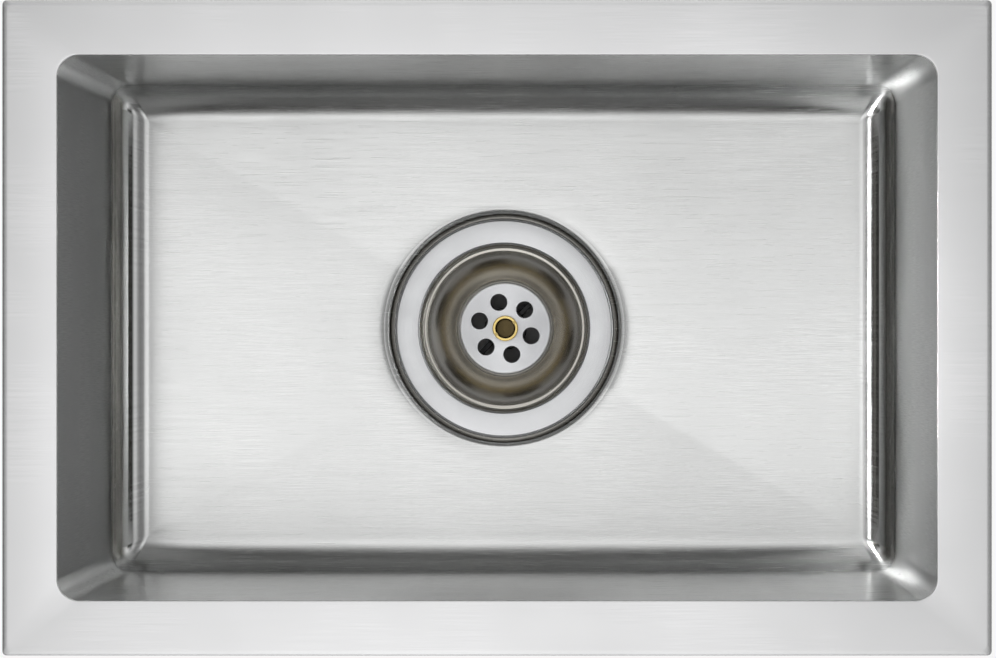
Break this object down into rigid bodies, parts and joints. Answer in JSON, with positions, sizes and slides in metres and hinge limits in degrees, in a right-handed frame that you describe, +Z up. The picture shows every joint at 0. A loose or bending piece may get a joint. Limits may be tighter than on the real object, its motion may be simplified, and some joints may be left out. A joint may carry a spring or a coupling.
{
  "type": "undermount kitchen sink",
  "caption": "Single-bowl undermount kitchen sink in brushed stainless steel, flat rim, coved bowl with creased floor, open basket waste, sound pads and swing-out clips.",
  "frame": {"origin": "centre of the bowl's opening, in the plane of the rim's top face, which is sealed to the worktop's underside", "axes": "+X along the bowl's length, +Y to the back of the sink, +Z up out of the bowl"},
  "size_m": [0.45, 0.298, 0.2785],
  "materials": {
    "bowl_steel": "stainless, fine lengthwise satin brushing",
    "rim_steel": "stainless, fine lengthwise satin brushing",
    "waste_steel": "stainless, turned and lightly polished",
    "plate_steel": "stainless, bright satin",
    "screw_brass": "turned brass, slightly dulled",
    "insert_brass": "turned brass",
    "seal_rubber": "black moulded rubber",
    "body_plastic": "black moulded polypropylene",
    "pad_rubber": "dark grey bitumen-filled sound pad",
    "stud_steel": "bright zinc-plated thread",
    "clip_steel": "zinc-plated pressed strip"
  },
  "bodies": {
    "sink": {"bowl": "bowl_steel", "rim_plate": "rim_steel", "strainer_cup": "waste_steel", "strainer_plate": "plate_steel", "centre_screw": "screw_brass", "thread_insert": "insert_brass", "cup_seal": "seal_rubber", "body_seal": "seal_rubber", "waste_body": "body_plastic", "floor_pad_left": "pad_rubber", "floor_pad_right": "pad_rubber", "wall_pad_front": "pad_rubber", "wall_pad_back": "pad_rubber", "wall_pad_left": "pad_rubber", "wall_pad_right": "pad_rubber", "weld_studs": "stud_steel", "washers": "stud_steel", "hex_nuts": "stud_steel"},
    "clip_front_left": {"clip_front_left": "clip_steel"},
    "clip_front_right": {"clip_front_right": "clip_steel"},
    "clip_back_left": {"clip_back_left": "clip_steel"},
    "clip_back_right": {"clip_back_right": "clip_steel"},
    "clip_left_side": {"clip_left_side": "clip_steel"},
    "clip_right_side": {"clip_right_side": "clip_steel"}
  },
  "joints": [
    {"name": "clip_front_left_swing", "type": "hinge", "parent": "sink", "child": "clip_front_left", "pos_m": [-0.13, -0.137, -0.0036], "axis": [0, 0, -1], "range_deg": [0, 90]},
    {"name": "clip_front_right_swing", "type": "hinge", "parent": "sink", "child": "clip_front_right", "pos_m": [0.13, -0.137, -0.0036], "axis": [0, 0, 1], "range_deg": [0, 90]},
    {"name": "clip_back_left_swing", "type": "hinge", "parent": "sink", "child": "clip_back_left", "pos_m": [-0.13, 0.137, -0.0036], "axis": [0, 0, 1], "range_deg": [0, 90]},
    {"name": "clip_back_right_swing", "type": "hinge", "parent": "sink", "child": "clip_back_right", "pos_m": [0.13, 0.137, -0.0036], "axis": [0, 0, -1], "range_deg": [0, 90]},
    {"name": "clip_left_side_swing", "type": "hinge", "parent": "sink", "child": "clip_left_side", "pos_m": [-0.213, 0, -0.0036], "axis": [0, 0, 1], "range_deg": [0, 90]},
    {"name": "clip_right_side_swing", "type": "hinge", "parent": "sink", "child": "clip_right_side", "pos_m": [0.213, 0, -0.0036], "axis": [0, 0, -1], "range_deg": [0, 90]}
  ]
}
